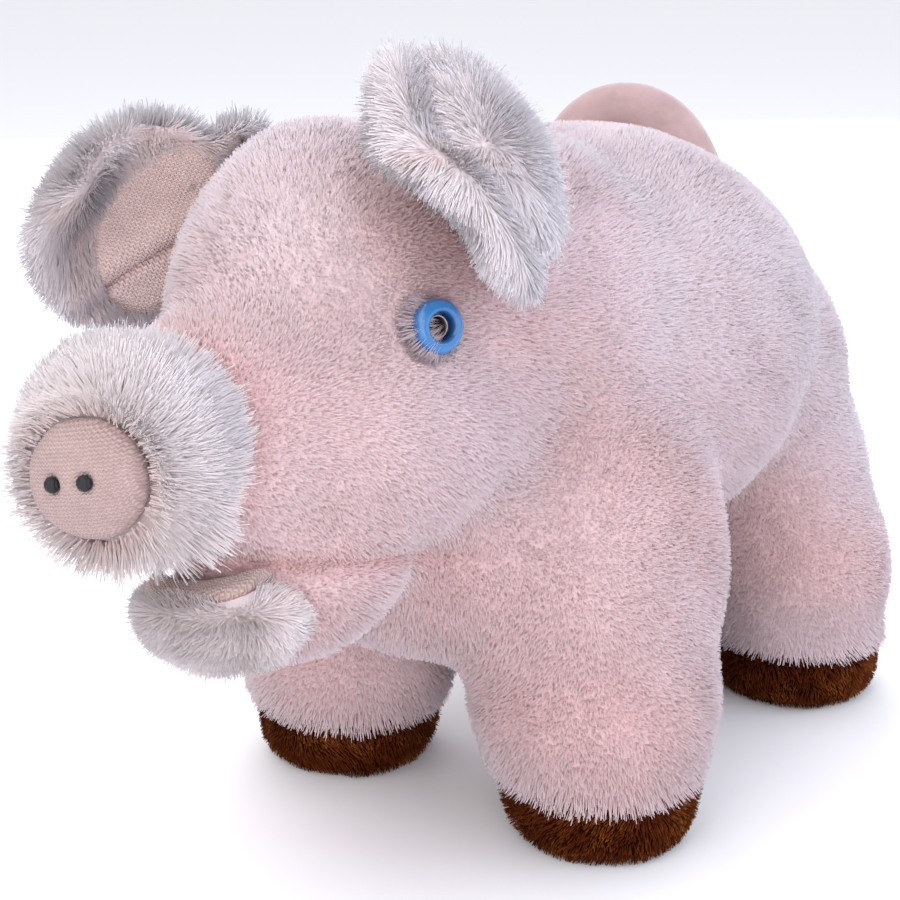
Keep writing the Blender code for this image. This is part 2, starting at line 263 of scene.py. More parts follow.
def object_noise(tree, scale, detail, roughness):
    place = tree.nodes.new("ShaderNodeTexCoord")
    noise = tree.nodes.new("ShaderNodeTexNoise")
    noise.inputs["Scale"].default_value = scale
    noise.inputs["Detail"].default_value = detail
    noise.inputs["Roughness"].default_value = roughness
    tree.links.new(place.outputs["Object"], noise.inputs["Vector"])
    return noise.outputs["Fac"]


def mottle(tree, scale, detail, roughness, darkest, lightest):
    """Cloudy patches to multiply a colour by."""
    noise = object_noise(tree, scale, detail, roughness)
    return remap(tree, noise, 0.3, 0.7, darkest, lightest)


def add_bump(tree, shader, height, distance, strength):
    bump = tree.nodes.new("ShaderNodeBump")
    bump.inputs["Distance"].default_value = distance
    bump.inputs["Strength"].default_value = strength
    tree.links.new(height, bump.inputs["Height"])
    tree.links.new(bump.outputs["Normal"], shader.inputs["Normal"])


def pile_colour(tree, rosy, plain):
    """Pile: rosy and plain each give the colours at its root, its middle and its tip. The warm
    attribute blends towards rosy, partly as painted shade and painted light.
    """
    along = read_attribute(tree, "along")
    shades = []
    for root, middle, tip in (plain, rosy):
        lower = fade(tree, along, 0.0, 0.5, root, middle)
        shades.append(fade(tree, along, 0.5, 1.0, lower, tip))
    # The warm attribute picks the rosy colours: mostly painted shade in hollows, seams and under
    # parts, and where it is low, painted cool light on top.
    warmed = mix_colours(tree, read_attribute(tree, "warm"), shades[0], shades[1])
    patched = multiply(tree, warmed, mottle(tree, 60, 3, 0.55, 0.96, 1.03))
    strand = remap(tree, read_attribute(tree, "shade"), 0, 1, 0.97, 1.02)
    return multiply(tree, patched, strand)


def pile_material(name, rosy, plain):
    material, tree, shader = blank_material(name, 0.9, 0.05)
    paint(tree, shader, pile_colour(tree, rosy, plain))
    add_sheen(shader, 0.25, 0.5, (0.92, 0.94, 1.0))
    return material


# Pile at its root, its middle and its tip.
PINK_PLAIN = ((0.77, 0.57, 0.59), (0.79, 0.66, 0.70), (0.79, 0.695, 0.745))
# Rosy pile, which the warm attribute mixes in mostly as painted shade.
PINK_ROSY = ((0.66, 0.27, 0.25), (0.73, 0.46, 0.45), (0.75, 0.54, 0.54))
# The white pile of the ears, lighter than the snout's copy since the ears lie in their own shade:
# painted light.
WHITE_PLAIN = ((0.84, 0.75, 0.78), (0.84, 0.78, 0.82), (0.84, 0.79, 0.85))
# The same white pile in a darker copy for the well lit snout and jaw: painted shade.
SHADED_WHITE_PLAIN = ((0.74, 0.65, 0.66), (0.75, 0.68, 0.70), (0.75, 0.70, 0.73))
SHADED_WHITE_ROSY = ((0.70, 0.44, 0.40), (0.74, 0.58, 0.56), (0.75, 0.64, 0.62))
# Very light rosy white for the ears' inner rims: painted light, as if light shone through the pile;
# along the ears' creases it is painted shade.
WHITE_ROSY = ((0.95, 0.60, 0.55), (0.96, 0.76, 0.73), (0.96, 0.82, 0.80))
# Dark grey pile round the eyes: painted shade of the hair that lies over the eye's dark hollow.
LASH_PAINTED_SHADE = ((0.20, 0.17, 0.22), (0.42, 0.36, 0.41), (0.60, 0.53, 0.58))
BROWN_ROOT = (0.018, 0.003, 0.001)
BROWN_MIDDLE = (0.075, 0.012, 0.002)
BROWN_TIP = (0.25, 0.080, 0.014)
PEACH = (0.51, 0.37, 0.36)
PEACH_PALE = (0.60, 0.44, 0.41)
# The ears' knit: the nose pad's peach made much lighter, painted light in the shaded cups.
PEACH_LINING_LIT = (0.96, 0.74, 0.71)
VELOUR = (0.44, 0.31, 0.31)
THREAD_BLACK = (0.006, 0.006, 0.008)
# The eye's hollow, nearly black: painted shade in the recess round the pupil.
HOLLOW_SHADE_DEEP = (0.001, 0.003, 0.012)
HOLLOW_SHADE_BLUE = (0.003, 0.02, 0.075)
EYE_BLUE = (0.026, 0.155, 0.40)
RIM_BLUE = (0.016, 0.09, 0.25)
# Colours of the pale ring round a pupil: a painted reflection.
REFLECTION_RING_DARK = (0.36, 0.26, 0.25)
REFLECTION_RING_PALE = (0.52, 0.40, 0.40)


def brown_pile_material():
    """Chestnut pile with nearly black patches and golden tips."""
    material, tree, shader = blank_material("brown_pile", 0.8, 0.06)
    along = read_attribute(tree, "along")
    lower = fade(tree, along, 0.0, 0.5, BROWN_ROOT, BROWN_MIDDLE)
    golden = remap(tree, object_noise(tree, 130, 3, 0.6), 0.45, 0.68, 0.15, 1.0)
    tips = mix_colours(tree, golden, BROWN_MIDDLE, BROWN_TIP)
    upper = fade(tree, along, 0.45, 1.0, lower, tips)
    strand = remap(tree, read_attribute(tree, "shade"), 0, 1, 0.75, 1.3)
    paint(tree, shader, multiply(tree, upper, strand))
    return material


def calculate(tree, operation, first, second=0.0):
    node = tree.nodes.new("ShaderNodeMath")
    node.operation = operation
    for socket, value in zip(node.inputs, (first, second)):
        if isinstance(value, bpy.types.NodeSocket):
            tree.links.new(value, socket)
        else:
            socket.default_value = value
    return node.outputs[0]


def stitches(tree, wale, course):
    """Jersey: rows of small V stitches.  The map "knit" holds the cloth's own millimetres."""
    cloth = tree.nodes.new("ShaderNodeUVMap")
    cloth.uv_map = "knit"
    split = tree.nodes.new("ShaderNodeSeparateXYZ")
    tree.links.new(cloth.outputs["UV"], split.inputs[0])
    wobble = calculate(tree, "MULTIPLY", object_noise(tree, 260, 2, 0.5), 0.7)
    column = calculate(tree, "FRACT", calculate(tree, "DIVIDE", split.outputs["X"], wale))
    ridge = calculate(tree, "ABSOLUTE", calculate(tree, "SUBTRACT", column, 0.5))
    row = calculate(tree, "DIVIDE", split.outputs["Y"], course)
    slanted = calculate(tree, "ADD", calculate(tree, "ADD", row, wobble), ridge)
    wave = calculate(tree, "SINE", calculate(tree, "MULTIPLY", slanted, 2 * math.pi))
    legs = calculate(tree, "SUBTRACT", 1.0, calculate(tree, "MULTIPLY", ridge, 0.8))
    return calculate(tree, "MULTIPLY", calculate(tree, "ADD", wave, 1.4), legs)


def knit_material(name, colour, wale=0.9, course=0.75):
    """Knit cloth with stitches wale wide and course high, in millimetres."""
    material, tree, shader = blank_material(name, 0.9, 0.1)
    dark = tuple(channel * 0.62 for channel in colour)
    stitch = stitches(tree, wale, course)
    speckle = object_noise(tree, 1400, 1, 0.5)
    shaded = mix_colours(tree, remap(tree, stitch, 0.2, 1.6, 0.75, 0.0), colour, dark)
    speckled = mix_colours(tree, remap(tree, speckle, 0.35, 0.6, 0.3, 0.0), shaded, dark)
    paint(tree, shader, multiply(tree, speckled, mottle(tree, 160, 3, 0.6, 0.92, 1.06)))
    add_bump(tree, shader, calculate(tree, "ADD", stitch, speckle), 0.00022, 0.8)
    add_sheen(shader, 0.2, 0.4, (1.0, 0.92, 0.9))
    return material


def velour_material():
    material, tree, shader = blank_material("peach_velour", 0.95, 0.05)
    paint(tree, shader, multiply(tree, VELOUR, mottle(tree, 110, 3, 0.6, 0.88, 1.08)))
    add_bump(tree, shader, object_noise(tree, 2600, 2, 0.6), 0.0003, 0.5)
    add_sheen(shader, 0.6, 0.35, (1.0, 0.95, 0.97))
    return material


def thread_material():
    material, tree, shader = blank_material("black_thread", 0.45, 0.4)
    shader.inputs["Base Color"].default_value = (*THREAD_BLACK, 1)
    add_bump(tree, shader, object_noise(tree, 3000, 2, 0.6), 0.0002, 0.4)
    add_sheen(shader, 0.2, 0.3, (0.8, 0.85, 1.0))
    return material


def eye_material():
    """Moulded blue plastic: a bright ring round a hollow painted dark blue to near black as painted
    shade, under a clear gloss.
    """
    material, tree, shader = blank_material("blue_plastic", 0.22, 0.5)
    ring = read_attribute(tree, "ring")
    hollow = fade(tree, ring, 0.30, 0.46, HOLLOW_SHADE_DEEP, HOLLOW_SHADE_BLUE)
    bright = fade(tree, ring, 0.46, 0.62, hollow, EYE_BLUE)
    rim = fade(tree, ring, 0.88, 1.0, bright, RIM_BLUE)
    paint(tree, shader, multiply(tree, rim, mottle(tree, 900, 3, 0.6, 0.93, 1.07)))
    shader.inputs["Coat Weight"].default_value = 0.2
    shader.inputs["Coat Roughness"].default_value = 0.08
    return material


# A painted reflection: the pale ring round a pupil.
def reflection_ring_material():
    material, tree, shader = blank_material("painted_reflection", 0.25, 0.5)
    paint(tree, shader, mix_colours(tree, object_noise(tree, 900, 2, 0.5), REFLECTION_RING_DARK, REFLECTION_RING_PALE))
    return material


def pupil_material():
    material, tree, shader = blank_material("black_plastic", 0.30, 0.2)
    paint(tree, shader, remap(tree, object_noise(tree, 600, 2, 0.5), 0, 1, 0.002, 0.006))
    return material


def skin_material():
    """The woven backing under the pile: salmon on the body, rosier where the warm attribute paints
    shade, dark brown on the hooves.
    """
    material, tree, shader = blank_material("backing", 0.95, 0.05)
    brown = read_attribute(tree, "brown")
    pink = pile_colour(tree, PINK_ROSY, PINK_PLAIN)
    ground = mix_colours(tree, brown, pink, BROWN_ROOT)
    paint(tree, shader, multiply(tree, ground, mottle(tree, 1500, 2, 0.6, 0.85, 1.1)))
    return material


# ---------------------------------------------------------------- sewn shapes
def deselect():
    for obj in bpy.context.selected_objects:
        obj.select_set(False)


def activate(obj):
    deselect()
    obj.select_set(True)
    bpy.context.view_layer.objects.active = obj


def new_object(name, mesh):
    obj = bpy.data.objects.new(name, mesh)
    bpy.context.scene.collection.objects.link(obj)
    return obj


def apply_modifiers(obj):
    activate(obj)
    for modifier in list(obj.modifiers):
        bpy.ops.object.modifier_apply(modifier=modifier.name)


def welded_copy(name, nodes, swell=0.0):
    """Copies of CAD nodes as one mesh, their loose triangles welded and pushed outwards."""
    mesh = bpy.data.meshes.new(name)
    shape = bmesh.new()
    for node in nodes:
        shape.from_mesh(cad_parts[node].data)
    bmesh.ops.remove_doubles(shape, verts=shape.verts, dist=1e-6)
    shape.normal_update()
    for vert in shape.verts:
        vert.co += vert.normal * swell
    shape.to_mesh(mesh)
    shape.free()
    mesh.materials.clear()
    return new_object(name, mesh)


def smooth(obj, rounds):
    soften = obj.modifiers.new("soften", "SMOOTH")
    soften.factor = 0.5
    soften.iterations = rounds
    apply_modifiers(obj)


def remeshed(obj, grain, rounds):
    """One closed skin of even grain, smoothed."""
    fuse = obj.modifiers.new("fuse", "REMESH")
    fuse.mode = "VOXEL"
    fuse.voxel_size = grain
    smooth(obj, rounds)
    return obj


def push(obj, amounts):
    """Moves each vertex along its normal by its own amount."""
    mesh = obj.data
    places = points_of(mesh)
    normals = points_of(mesh, "normal")
    moved = places + normals * np.asarray(amounts).reshape(-1, 1)
    move_to(mesh, moved)


def unwrap(obj):
    """An unwrap of the skin's own shape."""
    activate(obj)
    bpy.ops.object.mode_set(mode="EDIT")
    bpy.ops.mesh.select_all(action="SELECT")
    bpy.ops.uv.smart_project(angle_limit=math.radians(66), island_margin=0.002)
    bpy.ops.object.mode_set(mode="OBJECT")
    obj.data.uv_layers[0].name = "OFBake"
    deselect()


def set_attribute(mesh, name, values):
    attribute = mesh.attributes.get(name) or mesh.attributes.new(name, "FLOAT", "POINT")
    attribute.data.foreach_set("value", np.asarray(values, np.float32))


def read_values(mesh, name):
    values = np.empty(len(mesh.vertices), np.float32)
    mesh.attributes[name].data.foreach_get("value", values)
    return values.astype(float)


def finish_piece(obj, material, replaced=(), smooth_shading=True):
    """Gives a piece its material and the body it rides on, and hides the CAD parts that it
    replaces.
    """
    obj.data.materials.clear()
    obj.data.materials.append(material)
    if smooth_shading:
        obj.data.shade_smooth()
    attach(obj, "root")
    if replaced:
        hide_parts(*replaced)


def finish_pile(mesh, material):
    """Pile as a piece of its own, with the normals that it was given."""
    finish_piece(new_object(mesh.name, mesh), material, smooth_shading=False)


# ---------------------------------------------------------------- pile
class Roots:
    """Places on a skin where tufts grow, with the skin's normal and unwrap at each.

    The density is in tufts on each square millimetre, and weight thins it from place to place.
    """

    def __init__(self, obj, density, seed, weight=None):
        mesh = obj.data
        mesh.calc_loop_triangles()
        count = len(mesh.loop_triangles)
        corners = np.empty(count * 3, np.int32)
        mesh.loop_triangles.foreach_get("vertices", corners)
        corners = corners.reshape(-1, 3)
        loops = np.empty(count * 3, np.int32)
        mesh.loop_triangles.foreach_get("loops", loops)
        loops = loops.reshape(-1, 3)
        places = points_of(mesh)
        normals = points_of(mesh, "normal")
        uvs = np.empty(len(mesh.loops) * 2, np.float32)
        mesh.uv_layers["OFBake"].data.foreach_get("uv", uvs)
        uvs = uvs.reshape(-1, 2).astype(float)

        rng = np.random.default_rng(seed)
        first, second, third = (places[corners[:, i]] for i in range(3))
        areas = np.linalg.norm(np.cross(second - first, third - first), axis=1) / 2
        middles = (first + second + third) / 3
        shares = areas if weight is None else areas * np.clip(weight(middles), 0, None)
        expected = shares * density * 1e6
        planted = np.floor(expected + rng.uniform(size=count)).astype(int)
        chosen = np.repeat(np.arange(count), planted)
        spread = np.sqrt(rng.uniform(size=len(chosen)))
        across = rng.uniform(size=len(chosen))
        mix = np.stack([1 - spread, spread * (1 - across), spread * across], axis=1)
        self.mix = mix
        self.corners = corners[chosen]
        self.places = np.einsum("ij,ijk->ik", mix, places[self.corners])
        self.normals = unit(np.einsum("ij,ijk->ik", mix, normals[self.corners]))
        self.uvs = np.einsum("ij,ijk->ik", mix, uvs[loops[chosen]])
        self.rng = rng

    def keep(self, chosen):
        """Only the chosen roots, by mask or by number."""
        kept = copy.copy(self)
        kept.mix = self.mix[chosen]
        kept.corners = self.corners[chosen]
        kept.places = self.places[chosen]
        kept.normals = self.normals[chosen]
        kept.uvs = self.uvs[chosen]
        return kept

    def read(self, values):
        """A value of the skin's vertices at each root."""
        return np.einsum("ij,ij->i", self.mix, values[self.corners])

    def __len__(self):
        return len(self.places)


PATCH = 0.0015      # half the width of a tuft's patch in the unwrap


def side_directions(directions, rng):
    """Two unit directions across each tuft, turned at random round it."""
    helper = unit(rng.normal(size=directions.shape))
    across = unit(np.cross(directions, helper))
    return across, np.cross(directions, across)


def pile_mesh(name, places, triangles, uvs, shading_normals, along, per_vertex):
    """A mesh of many small closed tufts from arrays, with its bake map and attributes."""
    mesh = bpy.data.meshes.new(name)
    mesh.vertices.add(len(places))
    mesh.vertices.foreach_set("co", places.astype(np.float32).ravel())
    mesh.loops.add(triangles.size)
    mesh.loops.foreach_set("vertex_index", triangles.astype(np.int32).ravel())
    mesh.polygons.add(len(triangles))
    starts = np.arange(len(triangles), dtype=np.int32) * 3
    mesh.polygons.foreach_set("loop_start", starts)
    mesh.update(calc_edges=True)
    layer = mesh.uv_layers.new(name="OFBake")
    layer.data.foreach_set("uv", uvs.astype(np.float32).ravel())
    set_attribute(mesh, "along", along)
    for attribute, values in per_vertex.items():
        set_attribute(mesh, attribute, values)
    mesh.polygons.foreach_set("use_smooth", np.ones(len(triangles), bool))
    mesh.normals_split_custom_set_from_vertices(shading_normals.astype(np.float32))
    return mesh


def tuft_mesh(name, roots, corners, pattern, patch, along, normals, shades, warm):
    """Tufts of one pattern of faces.  corners holds each tuft's own, along how far up they are."""
    count, each = corners.shape[:2]
    triangles = (np.arange(count)[:, None, None] * each + pattern).reshape(-1, 3)
    loop_uvs = (roots.uvs[:, None, None, :] + patch[pattern][None]).reshape(-1, 2)
    extra = {"shade": np.repeat(shades, each), "warm": np.repeat(warm, each)}
    return pile_mesh(
        name, corners.reshape(-1, 3), triangles, loop_uvs, np.repeat(normals, each, axis=0),
        np.tile(along, count), extra)


WEDGE_PATTERN = np.array([(0, 1, 2), (1, 0, 3), (2, 3, 0), (3, 2, 1)])
WEDGE_PATCH = np.array([(-1, -1), (1, -1), (-1, 1), (1, 1)]) * PATCH
WEDGE_SOFTNESS = 0.9        # how much a tuft is shaded like the skin that it grows from
TIP_WIDTH = 0.45            # of a wedge's tip edge, as a share of its root edge


def wedge_tufts(name, roots, directions, lengths, widths, shades, warm):
    """Short upright tufts: a closed wedge of four faces, its root edge across its tip edge."""
    across, along_side = side_directions(directions, roots.rng)
    half = widths.reshape(-1, 1) / 2
    tips = roots.places + directions * lengths.reshape(-1, 1)
    corners = np.stack([
        roots.places - across * half,
        roots.places + across * half,
        tips - along_side * half * TIP_WIDTH,
        tips + along_side * half * TIP_WIDTH,
    ], axis=1)
    corners[:, :, 2] = np.maximum(corners[:, :, 2], 0)
    normals = unit(roots.normals * WEDGE_SOFTNESS + directions * (1 - WEDGE_SOFTNESS))
    return tuft_mesh(
        name, roots, corners, WEDGE_PATTERN, WEDGE_PATCH, [0.0, 0.0, 1.0, 1.0], normals,
        shades, warm)


LOCK_PATTERN = np.array([(0, 2, 1), (0, 3, 2), (0, 1, 3), (1, 2, 4), (2, 3, 4), (3, 1, 4)])
LOCK_PATCH = np.array([(0, -1), (-1, 0), (0, 0.1), (1, 0), (0, 1)]) * PATCH
LOCK_SOFTNESS = 0.85
LOCK_SUNK = 0.0003          # how deep a lock's root lies under its place
WAIST = 0.45                # how far up a lock bends


def lock_tufts(name, roots, directions, droops, lengths, widths, shades, warm):
    """Longer bent locks: a closed spindle, pointed at root and tip, that bends at its waist."""
    across, along_side = side_directions(directions, roots.rng)
    half = widths.reshape(-1, 1) / 2
    span = lengths.reshape(-1, 1)
    waist = roots.places + directions * span * WAIST
    tips = waist + unit(directions + droops) * span * (1 - WAIST)
    ring = []
    for angle in (0, 2 * math.pi / 3, 4 * math.pi / 3):
        ring.append(waist + (across * math.cos(angle) + along_side * math.sin(angle)) * half)
    corners = np.stack([roots.places - roots.normals * LOCK_SUNK] + ring + [tips], axis=1)
    normals = unit(roots.normals * LOCK_SOFTNESS + directions * (1 - LOCK_SOFTNESS))
    return tuft_mesh(
        name, roots, corners, LOCK_PATTERN, LOCK_PATCH, [0.0, WAIST, WAIST, WAIST, 1.0], normals,
        shades, warm)


def plant(name, roots, directions, lengths, width_range, warm, material):
    """Short tufts on the roots, as a piece of their own."""
    widths = roots.rng.uniform(*width_range, len(roots))
    shades = roots.rng.uniform(size=len(roots))
    mesh = wedge_tufts(name, roots, directions, lengths, widths, shades, warm)
    finish_pile(mesh, material)


def uneven(rng, count):
    """Lengths of sheared pile: nearly even, and one tuft in eight stands out."""
    lengths = rng.uniform(0.80, 1.0, count)
    return np.where(rng.uniform(size=count) < 0.12, lengths * 1.25, lengths)


def combed(roots, flow, lean, swirl_size, swirl, fuzz, seed):
    """Directions of tufts: the skin's normal, leant along a flow, swirled and a little ruffled."""
    normals = roots.normals
    along_skin = flow - normals * np.sum(flow * normals, axis=1, keepdims=True)
    ruffle = soft_noise(roots.places, swirl_size, seed) * swirl
    ruffle += soft_noise(roots.places, swirl_size / 4, seed + 1) * swirl * 0.5
    ruffle += roots.rng.normal(size=normals.shape) * fuzz
    ruffle -= normals * np.sum(ruffle * normals, axis=1, keepdims=True)
    return unit(normals + along_skin * np.asarray(lean).reshape(-1, 1) + ruffle)


# ---------------------------------------------------------------- body
FLESH = ["trunk", "head", "throat"] + [
    f"{part}_{end}_{side}" for part in ("leg", "hoof") for end in ("front", "hind")
    for side in ("left", "right")
]
BAND_NAMES = ("face", "cheeks", "neck", "shoulders", "flanks", "loin", "rump")
FOOT_HEIGHTS = (0.016, 0.030)       # where the crisp edge of a hoof gives way to the smoothed leg
SHIN_HEIGHTS = (0.030, 0.055)       # up to where the pile of a leg is thin
SOLE_HEIGHTS = (0.002, 0.010)       # up to where the pile of a sole is thin
THIN_PILE = 0.0014                  # how much less deep it is there
SEAM_DEPTH = 0.0022
SEAM_WIDTH = 0.0022
THROAT_SEAM = np.array((0, -0.214, -0.977))     # across the throat's seam, in the head's frame
THROAT_SEAM_DROP = 0.0403                       # how far that way it lies from the head's middle
EAR_SHADE_RADII = (0.021, 0.027, 0.033)   # radii of the rosy pile, painted shade, round an ear and round the snout
SNOUT_SHADE_RADII = (0.030, 0.030, 0.029)


def seam_depth(places):
    """How deep the sewn seams pull the skin in at each place, from 0 to 1."""
    in_head = into(HEAD_FRAME, places)
    throat = in_head @ THROAT_SEAM - THROAT_SEAM_DROP
    forward = step(0.030, 0.004, in_head[:, 1])
    return np.exp(-(throat / SEAM_WIDTH) ** 2) * forward


def build_skin():
    """The body's one skin: smoothed but at the feet, and set back by the depth of its pile."""
    skin = remeshed(welded_copy("body_skin", FLESH, SWELL), BODY_GRAIN, 4)
    crisp = points_of(skin.data)
    smooth(skin, 10)
    foot = (1 - step(*FOOT_HEIGHTS, crisp[:, 2]))[:, None]
    move_to(skin.data, points_of(skin.data) * (1 - foot) + crisp * foot)
    push(skin, -SWELL)
    places = points_of(skin.data)
    hoof = 1 - step(HOOF_TOP - 0.0005, HOOF_TOP + 0.002, places[:, 2])
    depth = BODY_PILE + (HOOF_PILE - BODY_PILE) * hoof
    depth -= THIN_PILE * (1 - step(*SHIN_HEIGHTS, places[:, 2])) * (1 - hoof)
    depth -= THIN_PILE * (1 - step(*SOLE_HEIGHTS, places[:, 2]))
    depth += seam_depth(places) * SEAM_DEPTH
    for middle in EYE_MIDDLES.values():
        near = np.linalg.norm(places - np.array(middle), axis=1)
        depth -= (1 - step(0.006, 0.012, near)) * 0.0008
    depth += 0.00025 * soft_noise(places, size=0.022, seed=17)[:, 0] * (1 - hoof)
    push(skin, -depth)
    smooth(skin, 2)
    places = points_of(skin.data)
    set_attribute(skin.data, "brown", 1 - step(HOOF_TOP - 0.002, HOOF_TOP - 0.001, places[:, 2]))
    give_ground(skin, 0.55, rosy_tone_and_painted_light(places, cavity_of(skin)))
    unwrap(skin)
    return skin


def give_ground(skin, along, warm):
    """The pile's own colours, at a height along it, for the backing it grows from."""
    count = len(skin.data.vertices)
    set_attribute(skin.data, "along", np.full(count, along))
    set_attribute(skin.data, "shade", np.full(count, 0.5))
    set_attribute(skin.data, "warm", np.full(count, warm))


def cavity_of(skin):
    """How much each vertex lies in a hollow: how far heavy smoothing would lift it."""
    places = points_of(skin.data)
    normals = points_of(skin.data, "normal")
    trial = new_object("trial", skin.data.copy())
    smooth(trial, 40)
    lifted = np.sum((points_of(trial.data) - places) * normals, axis=1)
    bpy.data.objects.remove(trial, do_unlink=True)
    return lifted


def rosy_tone_and_painted_light(places, cavity):
    """From 0 where the pile is cool and pale to 1 where it is rosy. Less of it on the back and
    crown is painted cool light from above; more of it in hollows, along the throat seam and round
    the ears and snout is painted shade.
    """
    # Painted light: less rosy on the back and the crown, as if lit by cool light from above; also
    # less rosy near the ground.
    back = step(-0.05, 0.04, places[:, 1]) * step(0.03, 0.12, places[:, 2])
    crown = step(0.125, 0.165, places[:, 2])
    rosy = 0.56 * (1 - np.maximum(back, crown * 0.9)) - 0.22 * (1 - step(0.02, 0.05, places[:, 2]))
    # Painted shade: rosy in the hollows and along the throat's seam.
    rosy += step(0.0003, 0.0032, cavity) * 0.9 + seam_depth(places) * 0.4
    # Painted shade: rosy round each ear's root and round the back of the snout.
    for side in EAR_POSES:
        local = into(ear_frame(side), places) / EAR_SHADE_RADII
        rosy += (1 - step(0.75, 1.10, np.linalg.norm(local, axis=1))) * 0.25
    local = into(SNOUT_FRAME, places) / SNOUT_SHADE_RADII
    rosy += (1 - step(0.80, 1.05, np.linalg.norm(local, axis=1))) * 0.2
    rosy += 0.10 * soft_noise(places, size=0.035, seed=41)[:, 1]
    return np.clip(rosy, 0, 1)


def flow_of_body(places):
    """Which way the pile is brushed: back along the body and down the legs."""
    flow = np.tile(np.array((0.0, 0.75, -0.45)), (len(places), 1))
    leg = 1 - step(0.03, 0.075, places[:, 2])
    flow = flow * (1 - leg[:, None]) + np.array((0.0, 0.1, -1.0)) * leg[:, None]
    return unit(flow)


def body_roots(skin):
    """Roots on the whole body but the hooves and the ground under the ears' knit."""
    above = HOOF_TOP - 0.0012
    roots = Roots(skin, BODY_TUFTS, 11, lambda middles: (middles[:, 2] > above).astype(float))
    for side in EAR_POSES:
        local = into(ear_frame(side), roots.places)
        floor = cup_depth(local[:, 1], local[:, 2])
        under_knit = lining_reach(local[:, 1], local[:, 2]) < 1.05
        roots = roots.keep(~(under_knit & (np.abs(local[:, 0] - floor) < 0.006)))
    return roots


def build_body_pile(skin):
    """Short pile over the body, split from nose to tail into bands of equal count."""
    roots = body_roots(skin)
    places = roots.places
    near_eye = np.full(len(roots), 1.0)
    for middle in EYE_MIDDLES.values():
        near_eye = np.minimum(near_eye, np.linalg.norm(places - np.array(middle), axis=1))
    edge = 1 - step(HOOF_TOP, HOOF_TOP + 0.010, places[:, 2])
    in_head = into(HEAD_FRAME, places)
    face = step(-0.012, -0.035, in_head[:, 1]) * step(0.05, 0.06, places[:, 2])
    directions = combed(
        roots, flow_of_body(places), 0.22 + 0.30 * edge,
        swirl_size=0.030, swirl=0.10, fuzz=0.12, seed=21)
    lengths = BODY_PILE * (1 + 0.04 * soft_noise(places, size=0.010, seed=31)[:, 0])
    lengths *= roots.rng.uniform(0.80, 1.12, len(roots))
    lengths *= 1 - 0.20 * face
    lengths *= 1 - 0.30 * seam_depth(places)
    lengths *= 1 + 0.60 * edge
    lengths *= 0.6 + 0.4 * step(0.0065, 0.0105, near_eye)
    widths = roots.rng.uniform(*BODY_WIDTHS, len(roots))
    shades = roots.rng.uniform(size=len(roots))
    warm = roots.read(read_values(skin.data, "warm"))

    material = pile_material("pink_pile", PINK_ROSY, PINK_PLAIN)
    order = np.argsort(places[:, 1])
    for name, chosen in zip(BAND_NAMES, np.array_split(order, len(BAND_NAMES))):
        mesh = wedge_tufts(
            f"pile_{name}", roots.keep(chosen), directions[chosen], lengths[chosen], widths[chosen],
            shades[chosen], warm[chosen])
        finish_pile(mesh, material)


def build_lashes(skin):
    """Longer pile round each eye, brushed over its rim and furthest over the front of the disc."""
    # The lash pile is dark grey as painted shade.
    material = pile_material("lash_pile", PINK_ROSY, LASH_PAINTED_SHADE)
    forward = turn(HEAD_FRAME, np.array([[0.0, -0.98, 0.10]]))[0]
    for side in EYE_MIDDLES:
        middle = np.array(EYE_MIDDLES[side])
        roots = Roots(skin, LASH_TUFTS, 15, lambda middles: round_eye(middles, middle))
        roots.places = roots.places + roots.normals * 0.0012
        away = roots.places - middle
        ahead = step(-0.45, 0.35, unit(away) @ forward)
        flow = unit(-away)
        directions = combed(
            roots, flow, 0.15 + 0.15 * ahead, swirl_size=0.008, swirl=0.16, fuzz=0.10, seed=25)
        lengths = (0.0034 + 0.0034 * ahead) * roots.rng.uniform(0.70, 1.1, len(roots))
        reach = (0.9 + 0.9 * ahead)[:, None]
        droops = flow * reach + roots.rng.normal(size=away.shape) * 0.12
        widths = roots.rng.uniform(*LASH_WIDTHS, len(roots))
        shades = roots.rng.uniform(size=len(roots))
        warm = roots.read(read_values(skin.data, "warm")) * 0.5
        mesh = lock_tufts(
            f"pile_brow_{side}", roots, directions, droops, lengths, widths, shades, warm)
        finish_pile(mesh, material)


def round_eye(places, middle):
    """1 on the ring of skin round an eye's rim, 0 elsewhere."""
    distance = np.linalg.norm(places - middle, axis=1)
    return ((distance > 0.0058) & (distance < 0.0090)).astype(float)


def build_hoof_pile(skin):
    """Brown pile on the hooves that ends at the ground."""
    below = HOOF_TOP - 0.0008
    roots = Roots(skin, HOOF_TUFTS, 13, lambda middles: (middles[:, 2] < below).astype(float))
    places = roots.places
    flow = np.tile(np.array((0.0, 0.0, -1.0)), (len(roots), 1))
    directions = combed(roots, flow, 0.45, swirl_size=0.012, swirl=0.35, fuzz=0.14, seed=23)
    lengths = HOOF_PILE * roots.rng.uniform(0.85, 1.15, len(roots))
    lengths *= 1 + 0.12 * soft_noise(places, size=0.006, seed=33)[:, 0]
    to_ground = places[:, 2] / np.maximum(-directions[:, 2], 1e-3)
    lengths = np.where(directions[:, 2] < 0, np.minimum(lengths, to_ground), lengths)
    plant(
        "pile_hooves", roots, directions, lengths, HOOF_WIDTHS, np.zeros(len(roots)),
        brown_pile_material())


# ---------------------------------------------------------------- snout, jaw and mouth
def lay_knit(obj, matrix, across, up):
    """The cloth's own millimetres, from two axes of a frame, as the map the stitches follow."""
    local = into(matrix, points_of(obj.data)) * 1000
    corners = np.empty(len(obj.data.loops), np.int32)
    obj.data.loops.foreach_get("vertex_index", corners)
    layer = obj.data.uv_layers.new(name="knit")
    layer.data.foreach_set("uv", local[corners][:, (across, up)].astype(np.float32).ravel())


